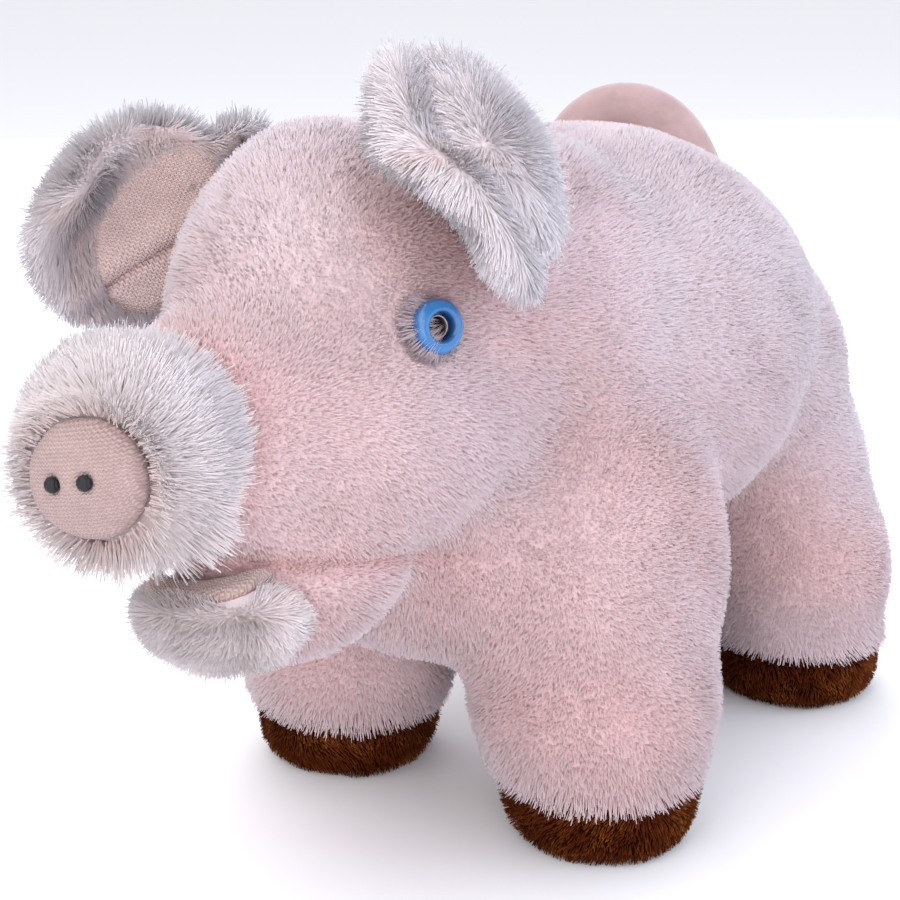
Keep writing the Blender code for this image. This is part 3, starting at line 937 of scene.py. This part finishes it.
def finish_skin(skin, material, warm, node):
    """A white skin that shows between its tufts, dyed like their middles."""
    unwrap(skin)
    give_ground(skin, 0.5, warm)
    finish_piece(skin, material, [node])


PAD_MIDDLE = np.array((0.0, -0.0111, -0.0029))      # of the nose pad, in the snout's frame
PAD_RADII = (0.0131, 0.0118)
PAD_DEPTH = 0.010                                   # how far back places still lie beside it
BESIDE_PAD = 1.08                                   # how far out, in its radii
MOUTH_MIDDLE = np.array((0.0, -0.0440, -0.0337))    # of the lip's knit, in the head's frame
MUZZLE_TUFT = 0.0055
JAW_TUFT = 0.0048
EAR_TUFT = 0.0056


def about_pad(places):
    """Places in the snout's frame, from the middle of the nose pad."""
    return into(SNOUT_FRAME, places) - PAD_MIDDLE


def within_pad(local, reach):
    """Whether places lie within reach of the nose pad's middle, in its radii, and how far out."""
    oval = np.hypot(local[:, 0] / PAD_RADII[0], local[:, 2] / PAD_RADII[1])
    return (local[:, 1] < PAD_DEPTH) & (oval < reach), oval


def build_muzzle(shaded_white):
    """The muzzle's skin, set back most beside the nose pad and below."""
    muzzle = remeshed(welded_copy("muzzle_skin", ["muzzle"], SEWN_SWELL), SEWN_GRAIN, 8)
    local = about_pad(points_of(muzzle.data))
    from_pad = np.hypot(local[:, 0], local[:, 2])
    in_front = local[:, 1] < 0.012
    beyond = np.where(in_front, step(0.0140, 0.0200, from_pad), 1.0)
    beside = np.where(in_front, step(0.0105, 0.0125, from_pad), 1.0)
    below = 1 - step(-0.016, 0.004, local[:, 2])
    push(muzzle, -(0.0002 + 0.0028 * beside + 0.0010 * beyond + 0.0012 * below * beyond))
    smooth(muzzle, 3)
    finish_skin(muzzle, shaded_white, 0.15, "muzzle")
    build_muzzle_pile(muzzle, shaded_white)


def muzzle_roots(muzzle):
    """Roots all round the muzzle but under the nose pad and at the rear, and fewer beside it."""
    roots = Roots(muzzle, MUZZLE_TUFTS, 51)
    local = about_pad(roots.places)
    backward = facing_in(SNOUT_FRAME, roots.normals)[:, 1] > 0.55
    under_pad, _ = within_pad(local, 0.78)
    roots = roots.keep(~(under_pad | (local[:, 1] > 0.0175) | backward))
    beside, _ = within_pad(about_pad(roots.places), BESIDE_PAD)
    return roots.keep(~beside | (roots.rng.uniform(size=len(roots)) < 0.55))


def build_muzzle_pile(muzzle, shaded_white):
    """Pile that stands as a collar round the nose pad, spreads from it and lies back behind."""
    roots = muzzle_roots(muzzle)
    local = about_pad(roots.places)
    beside, oval = within_pad(local, BESIDE_PAD)
    pulled = roots.rng.uniform(1.0, 1.28, len(roots))
    local[:, (0, 2)] *= np.where(beside, pulled / np.maximum(oval, 1e-3), 1)[:, None]
    hem = 0.0004 + roots.rng.uniform(-0.0008, 0.0008, len(roots))
    local[:, 1] = np.where(beside, hem, local[:, 1])
    roots.places = out_of(SNOUT_FRAME, local + PAD_MIDDLE)

    collar = 1 - step(0.0115, 0.0175, np.hypot(local[:, 0], local[:, 2]))
    spread = unit(local * (1, 0, 1))
    outward = turn(SNOUT_FRAME, spread)
    forward = turn(SNOUT_FRAME, np.array([[0.0, -1.0, 0.0]]))
    spread[:, 1] = 0.35 * (1 - collar)
    flow = turn(SNOUT_FRAME, spread)
    facing = (np.clip(collar * 1.6, 0, 1) * (local[:, 1] < 0.008))[:, None]
    normals = unit(roots.normals * (1 - facing) + unit(forward + outward) * facing)
    rear = step(0.007, 0.015, local[:, 1])[:, None]
    roots.normals = unit(normals * (1 - rear) + unit(outward * 0.25 - forward) * rear)
    directions = combed(
        roots, flow, 0.75 - 0.25 * collar, swirl_size=0.009, swirl=0.18, fuzz=0.11, seed=61)
    # The rear tufts lie back, but are shaded like the rest.
    roots.normals = unit(normals * (1 - rear) + outward * rear)
    under = step(-0.006, -0.014, local[:, 2]) * step(-0.006, 0.006, local[:, 0])
    lengths = MUZZLE_TUFT - 0.0010 * collar + 0.0032 * under + 0.0015 * rear[:, 0]
    lengths *= uneven(roots.rng, len(roots))
    patches = 0.1 * soft_noise(roots.places, size=0.02, seed=71)[:, 0]
    warm = np.clip(0.12 + 0.4 * collar + patches, 0, 1)
    plant("pile_muzzle", roots, directions, lengths, LOOSE_WIDTHS, warm, shaded_white)


def build_jaw(shaded_white):
    """The lower lip's skin, set back by its pile but where it is sewn to the chin."""
    jaw = remeshed(welded_copy("jaw_skin", ["jaw"], SEWN_SWELL), JAW_GRAIN, 6)
    local = into(HEAD_FRAME, points_of(jaw.data))
    upper = step(-0.0440, -0.0385, local[:, 2])
    sewn = step(-0.044, -0.037, local[:, 1])
    push(jaw, -(0.0034 - 0.0030 * upper) * (1 - 0.85 * sewn))
    smooth(jaw, 2)
    finish_skin(jaw, shaded_white, 0.25, "jaw")
    build_jaw_pile(jaw, shaded_white)


def build_jaw_pile(jaw, shaded_white):
    """Pile that hangs outwards from the lip, stands up along it and lies back over the chin."""
    roots = Roots(jaw, JAW_TUFTS, 53)
    local = into(HEAD_FRAME, roots.places)
    flat = ((local - MOUTH_MIDDLE)[:, :2] - (0.0, 0.0020)) / (0.0142, 0.0058)
    under_knit = (roots.normals[:, 2] > 0.55) & (np.sum(flat ** 2, axis=1) < 1)
    backward = facing_in(HEAD_FRAME, roots.normals)[:, 1] > 0.5
    roots = roots.keep(~(under_knit | backward))
    local = into(HEAD_FRAME, roots.places)
    lip = step(-0.0450, -0.0385, local[:, 2])
    down = np.full(len(roots), -0.006)
    outward = unit(np.stack([local[:, 0], local[:, 1] + 0.033, down], axis=1))
    flow = turn(HEAD_FRAME, outward) * (1 - lip[:, None] * 0.6)
    flow += lip[:, None] * np.array((0, 0, 0.9)) - (1 - lip[:, None]) * np.array((0, 0, 0.5))
    rear = step(-0.041, -0.035, local[:, 1])[:, None]
    back = turn(HEAD_FRAME, np.array([[0.0, 1.0, -0.1]]))
    normals = roots.normals
    roots.normals = unit(normals * (1 - rear) + (back + normals * 0.6) * rear)
    directions = combed(
        roots, flow, 0.60 - 0.4 * rear[:, 0], swirl_size=0.008, swirl=0.20, fuzz=0.10, seed=63)
    roots.normals = normals
    lengths = JAW_TUFT * uneven(roots.rng, len(roots)) * (1 - 0.30 * lip) * (1 - 0.3 * rear[:, 0])
    # Painted shade: rosier at the back of the lip, under the muzzle.
    behind = step(-0.044, -0.034, local[:, 1]) * lip
    patches = 0.15 * soft_noise(roots.places, size=0.02, seed=73)[:, 0]
    warm = np.clip(0.25 + 0.7 * behind + patches, 0, 1)
    plant("pile_jaw", roots, directions, lengths, LOOSE_WIDTHS, warm, shaded_white)


def build_nose_pad():
    """A stuffed knit oval, a little uneven and dimpled where the nostrils are stitched."""
    pad = remeshed(welded_copy("nose_pad_knit", ["nose_pad"]), PAD_GRAIN, 12)
    local = about_pad(points_of(pad.data))
    from_middle = np.hypot(local[:, 0], local[:, 2])
    dimple = np.exp(-((from_middle - 0.0045) / 0.0030) ** 2) * 0.00025
    lumps = 0.00012 * soft_noise(points_of(pad.data), size=0.006, seed=81)[:, 0]
    push(pad, lumps - dimple)
    lay_knit(pad, SNOUT_FRAME, 0, 2)
    finish_piece(pad, knit_material("peach_knit", PEACH), ["nose_pad"])


def build_mouth():
    """A panel of knit laid inside the lip, a little dished."""
    mouth = remeshed(welded_copy("mouth_knit", ["mouth_lining"]), MOUTH_GRAIN, 8)
    local = into(HEAD_FRAME, points_of(mouth.data)) - MOUTH_MIDDLE
    local[:, 0] *= 0.97
    local[:, 1] = local[:, 1] * 0.85 + 0.0012
    bowl = np.clip(1 - (local[:, 0] / 0.015) ** 2 - ((local[:, 1] - 0.0025) / 0.006) ** 2, 0, 1)
    local[:, 2] = local[:, 2] * 0.7 + 0.22 * local[:, 1] - 0.0020 - 0.0012 * bowl
    place_local(mouth, HEAD_FRAME, local + MOUTH_MIDDLE)
    lay_knit(mouth, HEAD_FRAME, 0, 1)
    finish_piece(mouth, knit_material("pale_knit", PEACH_PALE), ["mouth_lining"])


def add_ribs(obj, matrix, axis, pitch, depth):
    """Close parallel threads: shallow grooves across one axis of a frame."""
    local = into(matrix, points_of(obj.data))
    phase = local[:, axis] / pitch * 2 * math.pi
    push(obj, -(1 + np.cos(phase)) / 2 * depth)


def build_nostrils():
    """Satin stitch: close parallel threads over a small raised oval."""
    thread = thread_material()
    for side in ("left", "right"):
        stitched = welded_copy(f"nostril_stitch_{side}", [f"nostril_{side}"])
        remeshed(stitched, THREAD_GRAIN, 6)
        add_ribs(stitched, SNOUT_FRAME, 0, 0.00035, 0.00010)
        push(stitched, 0.00005)
        finish_piece(stitched, thread, [f"nostril_{side}"])


# ---------------------------------------------------------------- ears
EAR_RADII = (0.0285, 0.0318)        # half an ear's width and height, at the tips of its pile
CUP_MIDDLE = (-0.0015, -0.0010)
CUP_RADII = (0.0205, 0.0262)
CUP_DEPTH = 0.0052
CREASE_WIDTH = 0.0020
CREASE_SLOPE = 0.56
LINING_MIDDLE = (-0.004, 0.0)
LINING_RADII = (0.0142, 0.0225)     # of the knit that shows
LINING_CUT = (0.0148, 0.0232)       # of the knit as it is cut, its edge sewn under


def in_oval(across, up, middle, radii):
    """Places on an ear's opening, measured from the middle of an oval in its radii."""
    return (across - middle[0]) / radii[0], (up - middle[1]) / radii[1]


def cup_depth(across, up):
    """The inside of an ear: how far behind its opening, with the fold that the knit makes."""
    beside, above = in_oval(across, up, CUP_MIDDLE, CUP_RADII)
    depth = -CUP_DEPTH * np.clip(1 - (beside ** 2 + above ** 2), 0, 1) ** 0.60
    fold = (across - 0.003) * 0.725 + (up + 0.017) * 0.688
    depth += 0.0020 * np.exp(-((fold - 0.0045) / 0.0035) ** 2)
    depth -= 0.0022 * np.exp(-(fold / 0.0012) ** 2)
    return depth


def lining_reach(across, up):
    """1 on the edge of the knit inside an ear, less within it."""
    beside, above = in_oval(across, up, LINING_MIDDLE, LINING_RADII)
    return np.sqrt(beside ** 2 + above ** 2)


def ear_crease(local):
    """1 along the fold across the outer side of an ear, where it is sewn down."""
    reach = step(0.010, 0.016, local[:, 1]) * step(-0.020, -0.014, local[:, 0])
    return np.exp(-(above_crease(local) / CREASE_WIDTH) ** 2) * reach


def above_crease(local):
    """How far above that fold a place lies."""
    return local[:, 2] + 0.0011 - CREASE_SLOPE * (local[:, 0] + 0.008)


def build_ear_lining(side, matrix, knit):
    """A knit oval laid in the cup of an ear, from a square grid drawn round."""
    deselect()
    bpy.ops.mesh.primitive_grid_add(x_subdivisions=64, y_subdivisions=64, size=2)
    lining = bpy.context.object
    lining.name = f"ear_knit_{side}"
    flat = points_of(lining.data)
    square_x, square_y = flat[:, 0], flat[:, 1]
    round_x = square_x * np.sqrt(1 - square_y ** 2 / 2)
    round_y = square_y * np.sqrt(1 - square_x ** 2 / 2)
    across = round_x * LINING_CUT[0] + LINING_MIDDLE[0]
    up = round_y * LINING_CUT[1] + LINING_MIDDLE[1]
    edge = step(0.82, 1.0, np.hypot(round_x, round_y))
    local = np.stack([cup_depth(across, up) + 0.0006 - 0.0014 * edge, across, up], axis=1)
    place_local(lining, matrix, local)
    if matrix.determinant() > 0:
        lining.data.flip_normals()
    lay_knit(lining, matrix, 1, 2)
    thicken = lining.modifiers.new("thicken", "SOLIDIFY")
    thicken.thickness = 0.0006
    thicken.offset = -1
    apply_modifiers(lining)
    finish_piece(lining, knit, [f"ear_lining_{side}"])


def roll_rim(shell, matrix):
    """Rolls the front of an ear's rim over its opening, and draws the tip back."""
    local = into(matrix, points_of(shell.data))
    rolled = step(-0.014, 0.000, local[:, 0]) * np.exp(-((local[:, 2] - 0.008) / 0.009) ** 2)
    rolled -= 0.35 * step(-0.010, 0.000, local[:, 0]) * step(0.016, 0.030, local[:, 2])
    local[:, 0] += 0.0075 * rolled * step(-0.008, 0.008, local[:, 1])
    place_local(shell, matrix, local)
    smooth(shell, 2)


def hollow_cup(shell, matrix, inside):
    """Presses the inside of an ear down to where its knit will lie."""
    local = into(matrix, points_of(shell.data))
    reach = np.hypot(*in_oval(local[:, 1], local[:, 2], CUP_MIDDLE, CUP_RADII))
    covered = inside * (1 - step(0.86, 1.0, reach))
    floor = cup_depth(local[:, 1], local[:, 2]) - 0.0012
    local[:, 0] += (floor - local[:, 0]) * covered
    place_local(shell, matrix, local)
    smooth(shell, 2)


def build_ear(side, knit, white):
    """An ear's skin, set back by its pile, its rim rolled over a hollow lined with knit."""
    matrix = ear_frame(side)
    shell = remeshed(welded_copy(f"ear_skin_{side}", [f"ear_{side}"], SEWN_SWELL), SEWN_GRAIN, 6)
    local = into(matrix, points_of(shell.data))
    normals = points_of(shell.data, "normal")
    opening = turn(matrix, np.array([[1.0, 0.0, 0.0]]))[0]
    inside = (normals @ opening > 0.05) & (local[:, 0] > -0.0150)
    hollow = inside * step(0.002, -0.003, local[:, 0])
    outwards = local[:, 1] / EAR_RADII[0] + local[:, 2] / EAR_RADII[1]
    corner = step(0.75, 1.25, outwards) * (1 - hollow)
    depth = EAR_PILE - (EAR_PILE - 0.0006) * hollow + 0.0010 * ear_crease(local)
    tip = step(0.016, 0.028, local[:, 2]) * step(-0.012, 0.0, local[:, 0])
    push(shell, -(depth + 0.0016 * corner + 0.0020 * tip))
    roll_rim(shell, matrix)
    hollow_cup(shell, matrix, inside)
    finish_skin(shell, white, 0.15, f"ear_{side}")
    build_ear_pile(side, shell, matrix, opening, white)
    build_ear_lining(side, matrix, knit)


def build_ear_pile(side, shell, matrix, opening, white):
    """Pile that fans out from an ear's crease and over its rim, and is left out under the knit."""
    roots = Roots(shell, EAR_TUFTS, 55)
    local = into(matrix, roots.places)
    facing = roots.normals @ opening
    inner = (facing > 0.05) & (local[:, 0] > -0.0155) & (local[:, 0] < 0.001)
    roots = roots.keep(~(inner & (lining_reach(local[:, 1], local[:, 2]) < 0.96)))
    local = into(matrix, roots.places)
    facing = roots.normals @ opening
    front = step(-0.014, -0.001, local[:, 0])
    outward = np.stack([
        0.15 + 0.75 * front,
        local[:, 1] / EAR_RADII[0],
        np.tanh(above_crease(local) / 0.007) * 0.8,
    ], axis=1)
    flow = turn(matrix, outward) + (1 - front[:, None]) * np.array((0.0, 0.0, -0.7))
    flow = flow + np.array((0.0, 0.0, -0.25))
    within = step(-0.2, 0.4, facing) * step(0.001, -0.003, local[:, 0])
    within = within * (lining_reach(local[:, 1], local[:, 2]) < 1.35)
    roots.normals = unit(roots.normals + opening * 1.5 * within[:, None])
    directions = combed(
        roots, flow, 0.80 - 0.5 * within, swirl_size=0.009, swirl=0.16, fuzz=0.09, seed=65)
    lengths = EAR_TUFT * uneven(roots.rng, len(roots)) * (1 - 0.20 * within)
    # Painted shade along the crease, and painted light on the cup's inner rim, rosy as if lit
    # through the pile.
    warm = np.clip(0.10 + 0.35 * ear_crease(local) + 0.45 * within, 0, 1)
    warm = np.clip(warm + 0.1 * soft_noise(roots.places, size=0.02, seed=75)[:, 0], 0, 1)
    plant(
        f"pile_ear_{side}", roots, directions, lengths, LOOSE_WIDTHS, warm, white)


# ---------------------------------------------------------------- tail and eyes
TAIL_SUNK = 0.0050          # how deep the tail's end is drawn in
SUNK_NEAR = 0.0035          # fully, up to this distance from the skin
SUNK_FADE = 0.0065          # and less and less over this one


def sew_in(tail, skin):
    """Draws the tail's end down through the pile, into the skin."""
    tree = bvhtree.BVHTree.FromObject(skin, bpy.context.evaluated_depsgraph_get())
    for vert in tail.data.vertices:
        _, normal, _, distance = tree.find_nearest(vert.co)
        vert.co -= normal * TAIL_SUNK * (1 - min(max((distance - SUNK_NEAR) / SUNK_FADE, 0), 1))
    tail.data.update()


def build_tail(skin):
    """A smooth stuffed curl of velour."""
    tail = welded_copy("tail_velour", ["tail"], TAIL_SWELL)
    round_off = tail.modifiers.new("round_off", "SUBSURF")
    round_off.levels = 2
    round_off.render_levels = 2
    apply_modifiers(tail)
    remeshed(tail, TAIL_GRAIN, 10)
    sew_in(tail, skin)
    finish_piece(tail, velour_material(), ["tail"])


DISC_RADII = (0.0066, 0.0067, 0.0022)
DISC_SHOWN = 0.86           # narrows the disc to the part that the pile leaves free
EYE_APART = 0.0376          # from the head's middle plane to an eye's disc
RING_RADIUS = 0.0022        # of the pale ring round a pupil, which is a painted reflection
RING_WIRE = 0.00012
RING_HEIGHT = 0.0007


def disc_face(radius):
    """How far an eye's front stands out at each distance from its axis: a ring round a hollow."""
    outer = np.clip(1 - (np.clip(radius - 0.0043, 0, None) / 0.0024) ** 2, 0, 1)
    return 0.0005 + 0.0022 * step(0.0024, 0.0040, radius) * np.sqrt(outer)


def build_eye_disc(side, seat, blue):
    """A round moulded disc, its front dished round the pupil."""
    deselect()
    bpy.ops.mesh.primitive_uv_sphere_add(segments=72, ring_count=64, radius=1)
    eye = bpy.context.object
    eye.name = f"eye_disc_{side}"
    local = points_of(eye.data) * DISC_RADII
    radius = np.hypot(local[:, 0], local[:, 1])
    height = local[:, 2]
    local[:, 2] = np.where(height > 0, disc_face(radius) * step(0, 0.0003, height), height)
    set_attribute(eye.data, "ring", radius / DISC_RADII[1])
    local[:, :2] *= DISC_SHOWN
    place_local(eye, seat, local)
    finish_piece(eye, blue, [f"eye_{side}"])


def build_eyes():
    """On each side a blue disc, a black pupil in its hollow and a pale ring round the pupil that is
    a painted reflection.
    """
    blue = eye_material()
    black = pupil_material()
    reflection = reflection_ring_material()
    for side, sign in (("left", 1), ("right", -1)):
        middle = HEAD_FRAME @ Vector((sign * EYE_APART, EYE_OFFSET.y, EYE_OFFSET.z))
        turned = Matrix.Translation(middle) @ HEAD_TURN @ Matrix.Rotation(-sign * EYE_TURN, 4, "Z")
        seat = turned @ Matrix.Rotation(sign * math.pi / 2, 4, "Y")
        build_eye_disc(side, seat, blue)

        pupil = remeshed(welded_copy(f"pupil_dome_{side}", [f"pupil_{side}"]), PUPIL_GRAIN, 20)
        finish_piece(pupil, black, [f"pupil_{side}"])

        # The pale ring: a painted reflection round the pupil.
        deselect()
        bpy.ops.mesh.primitive_torus_add(
            major_radius=RING_RADIUS, minor_radius=RING_WIRE, major_segments=64, minor_segments=10)
        ring = bpy.context.object
        ring.name = f"pupil_reflection_ring_{side}"
        ring.data.transform(seat @ Matrix.Translation((0, 0, RING_HEIGHT)))
        finish_piece(ring, reflection)


# ---------------------------------------------------------------- studio
FLOOR_SIZE = 16
FLOOR_WHITE = (0.88, 0.88, 0.90)
SKY_WHITE = (0.95, 0.96, 1.0)
LAMP_TARGET = Vector((0, 0, 0.09))
# Each lamp's name, place, size, power and colour.
LAMPS = (
    ("key", (-0.05, -0.80, 0.95), 0.9, 5.2, (1.0, 0.95, 0.92)),
    ("front", (0.50, -0.90, 0.30), 0.9, 4.2, (1.0, 0.95, 0.93)),
    ("fill", (0.42, -0.42, 0.05), 0.3, 0.4, (1.0, 0.93, 0.92)),
    ("window", (0.95, 0.30, 0.60), 1.1, 5.0, (0.72, 0.81, 1.0)),
    ("top", (-0.15, 0.25, 1.10), 1.0, 3.0, (0.90, 0.92, 1.0)),
    ("back", (-0.65, 0.60, 0.55), 1.0, 5.5, (1.0, 0.94, 0.94)),
)


def build_studio():
    """A white floor and sky, and the lamps."""
    bpy.ops.mesh.primitive_plane_add(size=FLOOR_SIZE, location=(0, 0, 0))
    floor = bpy.context.object
    floor.name = "floor"
    material, _, shader = blank_material("floor_paint", 0.9, 0.1)
    shader.inputs["Base Color"].default_value = (*FLOOR_WHITE, 1)
    floor.data.materials.append(material)

    world = bpy.data.worlds.new("studio")
    bpy.context.scene.world = world
    world.use_nodes = True
    world.node_tree.nodes["Background"].inputs["Color"].default_value = (*SKY_WHITE, 1)
    world.node_tree.nodes["Background"].inputs["Strength"].default_value = 1.0

    for name, place, size, power, colour in LAMPS:
        light = bpy.data.lights.new(name, "AREA")
        light.size = size
        light.energy = power
        light.color = colour
        lamp = bpy.data.objects.new(name, light)
        bpy.context.scene.collection.objects.link(lamp)
        lamp.location = place
        lamp.rotation_euler = (LAMP_TARGET - Vector(place)).to_track_quat("-Z", "Y").to_euler()


def build_camera():
    camera = bpy.data.objects.new("camera", bpy.data.cameras.new("camera"))
    bpy.context.scene.collection.objects.link(camera)
    camera.data.lens = CAMERA_LENS
    back = Vector((
        math.sin(CAMERA_AZIMUTH) * math.cos(CAMERA_ELEVATION),
        -math.cos(CAMERA_AZIMUTH) * math.cos(CAMERA_ELEVATION),
        math.sin(CAMERA_ELEVATION),
    ))
    camera.location = CAMERA_TARGET + back * CAMERA_DISTANCE
    camera.rotation_euler = (-back).to_track_quat("-Z", "Y").to_euler()
    bpy.context.scene.camera = camera
    bpy.context.scene.view_settings.view_transform = "Standard"


# ---------------------------------------------------------------- whole toy
build_camera()
build_studio()
body = build_skin()
finish_piece(body, skin_material(), FLESH)
build_body_pile(body)
build_lashes(body)
build_hoof_pile(body)
shaded_white_pile = pile_material("shaded_white_pile", SHADED_WHITE_ROSY, SHADED_WHITE_PLAIN)
white_pile = pile_material("white_pile", WHITE_ROSY, WHITE_PLAIN)
build_muzzle(shaded_white_pile)
build_jaw(shaded_white_pile)
build_nose_pad()
build_mouth()
build_nostrils()
lining_knit = knit_material("peach_lining", PEACH_LINING_LIT, 1.1, 0.9)
for ear_side in ("left", "right"):
    build_ear(ear_side, lining_knit, white_pile)
build_tail(body)
build_eyes()
